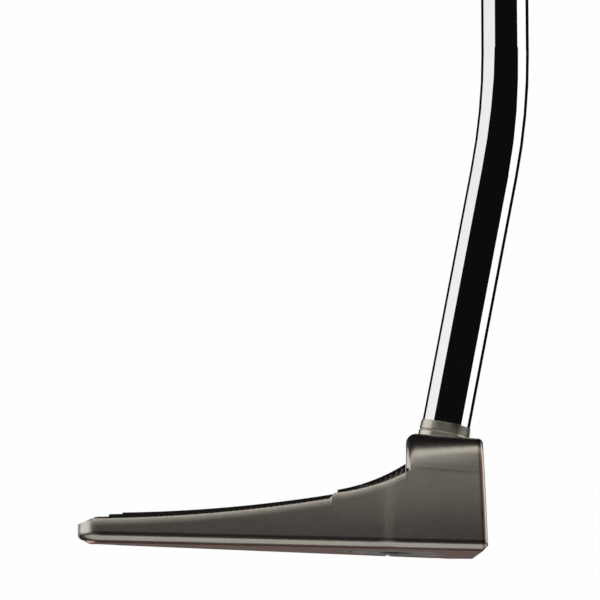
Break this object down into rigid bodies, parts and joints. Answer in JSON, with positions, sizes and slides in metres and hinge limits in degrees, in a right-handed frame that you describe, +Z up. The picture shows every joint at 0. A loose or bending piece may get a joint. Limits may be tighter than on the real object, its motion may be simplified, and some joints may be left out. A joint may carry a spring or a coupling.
{
  "type": "mallet putter",
  "caption": "Golf putter with a two-wing mallet head, ribbed deck panels, removable sole weights and a chrome shaft bent twice over a short post.",
  "frame": {"origin": "on the ground, under the flat pad of the sole that the putter rests on at address", "axes": "+Z up, +X towards the target along the face's aim, +Y from toe to heel, towards the player"},
  "size_m": [0.096, 0.3544, 0.8156],
  "materials": {
    "head_steel": "satin pewter-tone blasted stainless steel",
    "sole_copper": "satin copper-tone plated steel",
    "screw_steel": "fine turned",
    "insert_alloy": "grey anodised, milled grooves",
    "bond_tape": "thin double-sided tape",
    "panel_black": "matt black anodised",
    "line_enamel": "white enamel",
    "panel_screw_black": "black oxide",
    "weight_steel": "fine turned grey steel",
    "ring_rubber": "matt",
    "epoxy": "cured clear glue",
    "shaft_chrome": "polished chrome plate",
    "wrap_tape": "paper-backed grip tape",
    "grip_rubber": "matt moulded rubber"
  },
  "bodies": {
    "head": {"head_body": "head_steel", "sole_plate": "sole_copper", "sole_plate_screws": "screw_steel", "face_plate": "head_steel", "face_insert": "insert_alloy", "insert_bond_tape": "bond_tape", "toe_wing_panel": "panel_black", "heel_wing_panel": "panel_black", "ramp_panel": "panel_black", "sight_line": "line_enamel", "panel_screws": "panel_screw_black", "hosel_post": "head_steel", "shaft_epoxy": "epoxy", "shaft": "shaft_chrome", "grip_tape": "wrap_tape", "grip": "grip_rubber", "grip_cap": "grip_rubber"},
    "toe_ring": {"toe_weight_ring": "ring_rubber"},
    "toe_weight": {"toe_weight": "weight_steel"},
    "heel_ring": {"heel_weight_ring": "ring_rubber"},
    "heel_weight": {"heel_weight": "weight_steel"}
  },
  "joints": [
    {"name": "toe_weight_travel", "type": "slide", "parent": "head", "child": "toe_ring", "axis": [-0.0279, -0.0619, -0.9977], "range_m": [0, 0.005]},
    {"name": "toe_weight_turn", "type": "hinge", "parent": "toe_ring", "child": "toe_weight", "pos_m": [-0.0125, -0.033, 0.00121], "axis": [-0.0279, -0.0619, -0.9977], "range_deg": [0, 1800]},
    {"name": "heel_weight_travel", "type": "slide", "parent": "head", "child": "heel_ring", "axis": [-0.0279, 0.0619, -0.9977], "range_m": [0, 0.005]},
    {"name": "heel_weight_turn", "type": "hinge", "parent": "heel_ring", "child": "heel_weight", "pos_m": [-0.0125, 0.033, 0.00121], "axis": [-0.0279, 0.0619, -0.9977], "range_deg": [0, 1800]}
  ],
  "couplings": [
    {"joint": "toe_weight_travel", "follows": "toe_weight_turn", "m_per_rad": 0.00015915},
    {"joint": "heel_weight_travel", "follows": "heel_weight_turn", "m_per_rad": 0.00015915}
  ]
}
